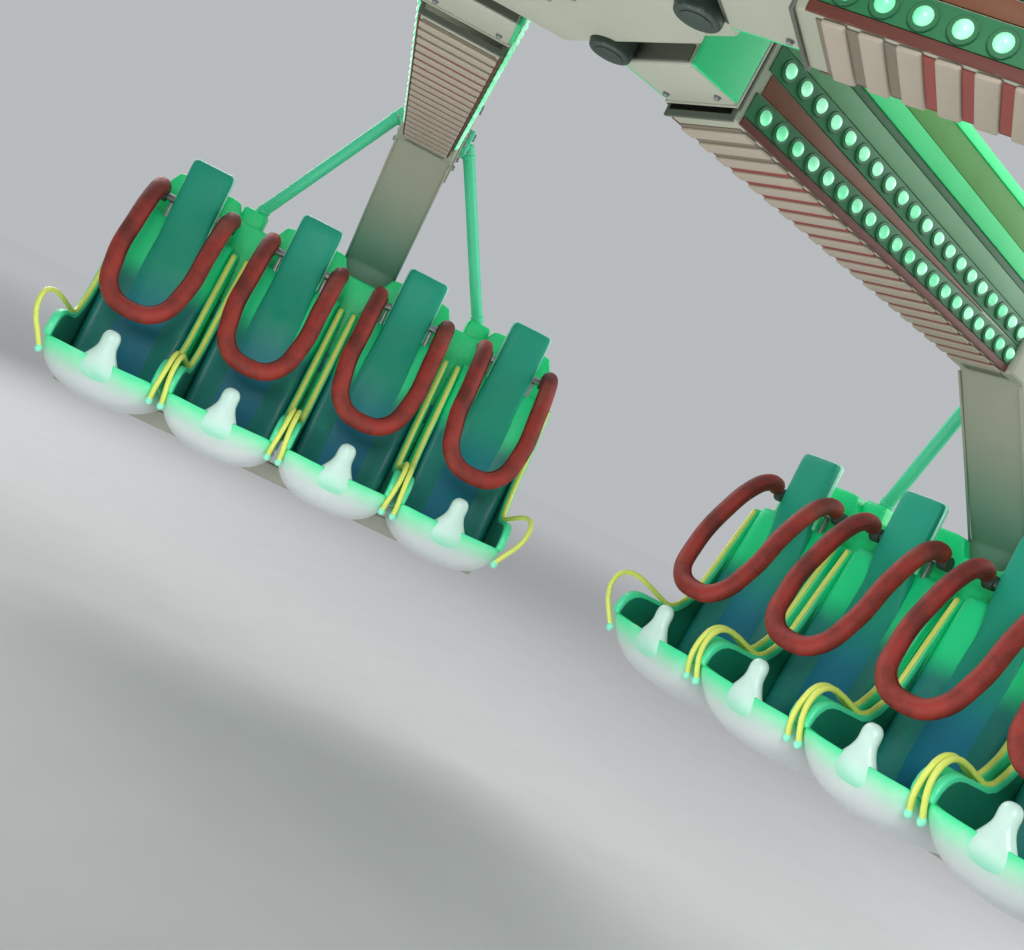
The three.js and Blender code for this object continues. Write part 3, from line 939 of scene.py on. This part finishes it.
def whole_arm():
    """The arm's steel, its coloured bands, its lamps and the bars under it."""
    steel = joined("arm", [arm_box()] + arm_fittings())
    dressing = [
        band("strip_edge", above(beam_low, 0.001), above(beam_low, 0.027), lamp_ground, 0.006),
        band("strip_low", above(beam_low, 0.029), above(beam_low, 0.106), upper_ground, 0.005),
        band("panel", above(beam_low, 0.110), panel_high, brown_panel, 0.004, PANEL_START, PANEL_POINT),
        band("strip_high", strip_foot, above(upper_lamps, 0.040), upper_ground, 0.005),
        band("dull", above(upper_lamps, 0.043), above(green_line, -0.062), dull_green, 0.004),
        band("groove", above(green_line, -0.060), above(green_line, -0.034), dark_groove, 0.003,
             edge=0.001),
        band("bright", above(green_line, -0.032), above(green_line, 0.036), bright_green, 0.008),
        band("olive", above(green_line, 0.039), above(beam_high, -0.044), olive, 0.004),
        band("edge", above(beam_high, -0.042), above(beam_high, -0.004), mint_edge, 0.008, edge=0.003),
    ]
    rows = [lamp_row("lamps_low", above(beam_low, 0.064)), lamp_row("lamps_high", upper_lamps)]
    return [steel, joined("bands", dressing), joined("lamps", rows), joined("bars", under_bars())]


# Row frame
def scalloped_panel():
    """Back panel of a row, its upper edge rising in a soft step behind every seat."""
    outline = [(PANEL_FRONT, -PANEL_HALF, up(PANEL_LOW)), (PANEL_FRONT, PANEL_HALF, up(PANEL_LOW))]
    step = both_sides(((0.240, 0.760), (0.205, 0.764), (0.185, 0.800), (0.166, 0.838), (0.130, 0.845)))
    for centre in reversed(SEAT_OFFSETS):
        outline += [(PANEL_FRONT, centre + shift, up(height)) for shift, height in step]
    panel = prism("row_panel", outline, (PANEL_BACK - PANEL_FRONT, 0, 0))
    parts = [edged(panel, mint_panel, 0.010, 3, 20)]
    for height in (-0.07, 0.36, 0.70):
        for side in (-1, 1):
            low, high = sorted((side * 0.165, side * 1.165))
            channel = block("channel", (PANEL_BACK - 0.004, low, up(height)),
                            (PANEL_BACK + 0.022, high, up(height + 0.045)))
            parts.append(edged(channel, mint_panel, 0.006))
    for centre in SEAT_OFFSETS:
        for shift in (-0.09, 0.09):
            parts += [hex_bolt("seat_bolt", (PANEL_BACK, centre + shift, up(height)), 0.012, "X")
                      for height in (0.03, 0.28, 0.55)]
    return joined("row_panel", parts)


def struts():
    """Round struts from the arm's head plates down to the shoes on the panel."""
    foot = Vector((3.436, 0.650, up(0.820)))
    head = Vector((3.100, 0.177, up(1.600)))
    run = head - foot
    parts = [edged(rod("strut", foot, head, 0.031, 24), aqua_paint, 0.004)]
    for part in (0.06, 0.94):
        ring = rod("strut_ring", foot + run * (part - 0.012), foot + run * (part + 0.012), 0.036, 24)
        parts.append(edged(ring, aqua_paint, 0.004))
    shoe = block("shoe", (3.370, 0.585, up(0.630)), (3.478, 0.715, up(0.845)))
    parts.append(edged(shoe, mint_panel, 0.016, 3))
    plate = block("head_plate", (3.035, 0.1453, up(1.535)), (3.165, 0.1853, up(1.665)))
    parts.append(edged(plate, aqua_paint, 0.010, 3))
    parts += [hex_bolt("head_bolt", (x, 0.1853, up(z)), 0.010, "Y")
              for x in (3.055, 3.145) for z in (1.555, 1.645)]
    parts += [hex_bolt("shoe_bolt", (3.478, y, up(0.66)), 0.011, "X") for y in (0.610, 0.690)]
    return mirrored(joined("struts", parts))


# Seats
HULL_RING = both_sides((
    (0, -0.07), (0.45, -0.06), (0.84, -0.02), (1, 0.03), (1, -0.24), (0.93, -0.48), (0.77, -0.74),
    (0.48, -0.94), (0, -1)))
# Radius, half width, top and depth
HULL_STATIONS = (
    (2.668, 0.250, -0.146, 0.030), (2.676, 0.268, -0.146, 0.075), (2.705, 0.276, -0.152, 0.135),
    (2.745, 0.279, -0.160, 0.182), (2.850, 0.281, -0.182, 0.185), (3.000, 0.281, -0.206, 0.178),
    (3.180, 0.280, -0.222, 0.168), (3.310, 0.280, -0.236, 0.152), (3.330, 0.279, -0.238, 0.149))


def hull():
    """Boat-shaped seat base whose keel drops from a thin front lip."""
    stations = [(x, top, 1, half, depth) for x, half, top, depth in HULL_STATIONS]
    return cover(swept("hull", [(0, u, v) for u, v in HULL_RING], stations), hull_white)


# Height, half width, half length and middle
HORN_STATIONS = (
    (-0.268, 0.150, 0.040, 2.742), (-0.240, 0.136, 0.041, 2.721), (-0.205, 0.118, 0.041, 2.704),
    (-0.170, 0.099, 0.040, 2.695), (-0.140, 0.076, 0.038, 2.693), (-0.110, 0.056, 0.035, 2.693),
    (-0.080, 0.043, 0.033, 2.693), (-0.050, 0.046, 0.037, 2.693), (-0.024, 0.043, 0.034, 2.693),
    (-0.008, 0.030, 0.024, 2.693), (-0.001, 0.014, 0.011, 2.693))


def horn():
    """Saddle horn at the front of the hull: flared foot, neck and rounded head."""
    corners = [2 * math.pi * corner / 14 for corner in range(14)]
    ring = [(math.cos(a), math.sin(a), 0) for a in corners]
    stations = [(middle, z, along, across, 1) for z, across, along, middle in HORN_STATIONS]
    return cover(swept("horn", ring, stations), horn_white)


def along_row(piece):
    """The piece and its copies, one for each seat of a row."""
    copies = [copy_of(piece, piece.name, move=(0, offset, 0)) for offset in SEAT_OFFSETS[1:]]
    piece.location.y = SEAT_OFFSETS[0]
    return settle(piece), copies


def seat_bases():
    """A row's four bases with the rail behind them."""
    one = joined("seat_hull", [hull(), horn()])
    tray = block("tray", (2.985, -0.150, up(-0.232)), (3.290, 0.150, up(-0.208)))
    one, copies = along_row(joined("seat_hull", [one, edged(tray, pan_shell, 0.010, 3)]))
    rail = block("base_rail", (3.239, -RAIL_HALF, up(-0.383)), (BACK_REAR, RAIL_HALF, up(-0.297)))
    edged(rail, white_paint, 0.010, 3)
    return joined("seat_hulls", [one, rail] + copies)


BACK_RING = both_sides((
    (1, 0), (1, 0.45), (1, 0.80), (0.95, 0.96), (0.84, 1), (0.70, 0.93), (0.45, 0.80), (0, 0.74)))
# Height and depth
BACK_STATIONS = ((-0.236, 0.212), (-0.220, 0.222), (-0.060, 0.212), (0.150, 0.178), (0.350, 0.147),
                 (0.520, 0.121), (0.590, 0.108), (0.612, 0.090), (0.619, 0.060))


def back_shell():
    """Dished seat back with raised edges."""
    stations = [(BACK_REAR, z, depth, BACK_HALF, 1) for z, depth in BACK_STATIONS]
    return cover(swept("back_shell", [(-v, u, 0) for u, v in BACK_RING], stations), back_mint)


PLANK_RING = both_sides(((1, 0), (1, 0.55), (0.985, 0.85), (0.90, 1), (0.5, 1.03), (0, 1.04)))
# Height, rear, depth and half width
PLANK_STATIONS = (
    (-0.232, 3.300, 0.132, 0.200), (-0.220, 3.300, 0.142, 0.216), (-0.100, 3.300, 0.140, 0.214),
    (0.060, 3.300, 0.122, 0.200), (0.190, 3.300, 0.106, 0.172), (0.320, 3.300, 0.094, 0.140),
    (0.430, 3.292, 0.078, 0.118), (0.530, 3.268, 0.064, 0.109), (0.610, 3.240, 0.062, 0.108),
    (0.660, 3.231, 0.058, 0.108), (0.860, 3.231, 0.057, 0.108), (0.908, 3.231, 0.056, 0.107),
    (0.924, 3.231, 0.050, 0.101), (0.928, 3.231, 0.040, 0.090))


def plank():
    """Padded plank in one sweep from the seat pan up to the head, with a pale rim behind the head."""
    stations = [(rear, z, depth, half, 1) for z, rear, depth, half in PLANK_STATIONS]
    pad = cover(swept("back_plank", [(-v, u, 0) for u, v in PLANK_RING], stations), teal_pad)
    rear, half, low, high, cut = 3.2345, 0.1125, 0.600, 0.933, 0.016
    corners = [(-half, low), (half, low), (half, high - cut), (half - cut, high), (cut - half, high),
               (-half, high - cut)]
    rim = prism("head_rim", [(rear, y, up(z)) for y, z in corners], (-0.022, 0, 0))
    edged(rim, pale_shell, 0.005, 2, 20)
    return [pad, rim]


WING_EDGE = (
    (2.665, -0.149), (2.660, -0.120), (2.668, -0.080), (2.685, -0.052), (2.710, -0.030),
    (2.745, -0.018), (2.790, -0.015), (2.880, -0.020), (2.960, -0.024), (3.010, -0.010),
    (3.055, 0.030), (3.100, 0.095), (3.135, 0.210), (3.170, 0.350), (3.202, 0.470), (3.232, 0.580))
# Outline of the darker sheet on each wing's inner face, which is painted shade
INNER_SHADE_EDGE = [(x + 0.018, z - 0.020) for x, z in WING_EDGE[1:14]] + [(3.188, -0.215), (2.935, -0.190)]
# The trim's free loop, which then follows the wing's edge, and the share of a bow at every point
HOOP = [
    (2.692, 0.271, -0.216), (2.666, 0.274, -0.165), (2.652, 0.280, -0.110), (2.658, 0.285, -0.050),
    (2.692, 0.286, 0.004), (2.750, 0.286, 0.027), (2.830, 0.284, 0.019), (2.910, 0.276, -0.004),
    (2.975, 0.268, -0.018), (3.018, 0.265, -0.004)] + [(x, 0.265, z) for x, z in WING_EDGE[-6:]]
BOWS = (0.05, 0.4, 0.8, 1.0, 1.0, 0.75, 0.35, 0.1) + (0,) * 8


def hoop(offset, side, bow=0.0):
    """Yellow tube along one wing's free edge, bowed out at the front, with a pale stop at its end."""
    line = [(x, offset + side * (y + bow * share), up(z + bow * share / 3))
            for (x, y, z), share in zip(HOOP, BOWS)]
    trim = cover(tube("wing_trim", line, TRIM_RADIUS), yellow_trim)
    deselect()
    end = Vector(line[0]) - Vector((0, 0, 0.006))
    bpy.ops.mesh.primitive_uv_sphere_add(segments=14, ring_count=10, radius=0.018, location=end,
                                         scale=(1, 1, 1.2))
    stop = settle(named("trim_stop"))
    bpy.ops.object.shade_smooth()
    return joined("wing_trim", [trim, cover(stop, pale_shell)])


def wing():
    """Side wings of a seat, with a darker sheet of painted shade on the inner face and a bright outer
    face.
    """
    outline = [*WING_EDGE, (3.245, 0.590), (BACK_REAR, 0.590), (BACK_REAR, -0.2395), (2.930, -0.2045)]
    plate = edged(side_plate("wing", outline, 0.2465, 0.037), wing_shell, 0.012, 3, 40)
    inner_shade_sheet = edged(side_plate("wing_inner_shade", INNER_SHADE_EDGE, 0.2480, -0.0045), wing_inner_shade, 0.0015, 1)
    outline = [(3.14, 0.02), (3.30, 0.02), (3.30, 0.52), (3.265, 0.52), (3.205, 0.36)]
    recess = edged(side_plate("wing_recess", outline, 0.2838, 0.005), mint_panel, 0.004)
    return mirrored(joined("wing", [plate, inner_shade_sheet, recess]))


def seat_backs():
    """A row's four backs with the rail behind them and the trims on their wings."""
    lug = block("lug", (3.247, 0.118, up(0.600)), (3.283, 0.136, up(0.6797)))
    lugs = mirrored(edged(lug, zinc, 0.004))
    one, copies = along_row(joined("seat_back", [back_shell(), wing(), lugs] + plank()))
    rail = block("back_rail", (3.304, -RAIL_HALF, up(0.240)), (BACK_REAR, RAIL_HALF, up(0.340)))
    edged(rail, pan_shell, 0.008)
    inner, outer = SEAT_OFFSETS[2:]
    trims = joined("trims", [hoop(inner, 1), hoop(inner, -1), hoop(outer, -1), hoop(outer, 1, 0.070)])
    return joined("seat_backs", [one, rail, mirrored(trims)] + copies)


# Restraint
def arched(half, crown):
    """A line from one side of the seat to the other, from its half and the point in the middle."""
    image = [(x, -y, z) for x, y, z in reversed(half)]
    return [(x, y, up(z)) for x, y, z in half + [crown] + image]


def sleeve():
    """Padded U of the restraint, swollen by a short cloth run."""
    line = arched([(3.222, 0.190, 0.722), (3.185, 0.190, 0.732), (3.130, 0.190, 0.718),
                   (3.075, 0.190, 0.680), (2.960, 0.190, 0.520), (2.865, 0.182, 0.300),
                   (2.805, 0.120, 0.150)], (2.790, 0, 0.112))
    pad = tube("sleeve", line, SLEEVE_RADIUS, 4)
    apply(pad, "REMESH", mode="VOXEL", voxel_size=0.008)
    rest = [vertex.co.copy() for vertex in pad.data.vertices]
    use(pad)
    cloth = pad.modifiers.new("cloth", "CLOTH")
    cloth.settings.use_pressure = True
    cloth.settings.uniform_pressure_force = 4
    cloth.settings.effector_weights.gravity = 0
    cloth.settings.quality = 4
    cloth.point_cache.frame_start = 1
    cloth.point_cache.frame_end = CLOTH_FRAMES
    for number in range(1, CLOTH_FRAMES + 1):
        scene.frame_set(number)
    bpy.ops.object.modifier_apply(modifier="cloth")
    scene.frame_set(1)
    for vertex, start in zip(pad.data.vertices, rest):
        move = vertex.co - start
        if move.length > SWELL_LIMIT:
            vertex.co = start + move.normalized() * SWELL_LIMIT
    apply(pad, "SMOOTH", factor=0.5, iterations=3)
    use(pad)
    bpy.ops.object.shade_smooth()
    cover(pad, red_vinyl)
    seam = arched([(3.150, 0.1455, 0.727), (3.075, 0.146, 0.684), (2.960, 0.146, 0.523),
                   (2.868, 0.139, 0.308), (2.8165, 0.089, 0.180)], (2.8065, 0, 0.153))
    piping = cover(tube("sleeve_piping", seam, 0.004, 2), red_piping)
    return joined("sleeve", [pad, piping])


def restraint_steel():
    """Shaft with its end collars and the curved arms that run into the sleeve."""
    x, z = PIVOT[0], up(PIVOT[1])
    shaft = edged(rod("shaft", (x, -RESTRAINT_HALF, z), (x, RESTRAINT_HALF, z), 0.0195, 24), zinc, 0.002)
    elbow = tube("elbow", [(x, RESTRAINT_HALF, z), (3.240, RESTRAINT_HALF, up(0.716)),
                           (3.205, RESTRAINT_HALF, up(0.729))], 0.020, 4)
    cover(elbow, zinc)
    knuckle = edged(rod("knuckle", (x, 0.160, z), (x, 0.212, z), 0.034, 24), dark_cover, 0.006, 3)
    return joined("restraint_steel", [shaft, mirrored(joined("elbow", [elbow, knuckle]))])


# Each kind of piece on an arm, its slot and the CAD node that it stands for
KINDS = (("arm_box", "beam_paint", "arm"), ("arm_bands", "beam_paint"), ("arm_lamps", "beam_paint"),
         ("arm_bars", "beam_paint"), ("row_panel", "panel_green", "row_frame"),
         ("row_struts", "panel_green"), ("seat_hulls", "seat_base", "seat_base"),
         ("seat_backs", "seat_shell", "seat_back"))
models = whole_arm() + [scalloped_panel(), struts(), seat_bases(), seat_backs()]
pads = sleeve()
steelwork = restraint_steel()
for model in [*models, pads, steelwork]:
    keep_place(model)

for arm in range(ARMS):
    for (kind, slot, *nodes), model in zip(KINDS, models):
        piece = copy_of(model, f"{kind}_{arm + 1}", turn=arm * TURN)
        finish_piece(piece, "gondola", slot, *(f"{node}_{arm + 1}" for node in nodes))
    for seat, offset in enumerate(SEAT_OFFSETS):
        label = f"restraint_{arm + 1}_{seat + 1}"
        shift = Matrix.Rotation(arm * TURN, 3, "Z") @ Vector((0, offset, 0))
        pad = copy_of(pads, f"{label}_sleeve", move=shift, turn=arm * TURN)
        finish_piece(pad, label, "restraint_pad", label)
        bars = copy_of(steelwork, f"{label}_steel", move=shift, turn=arm * TURN)
        finish_piece(bars, label, "restraint_pad")

for model in [*models, pads, steelwork]:
    bpy.data.objects.remove(model)
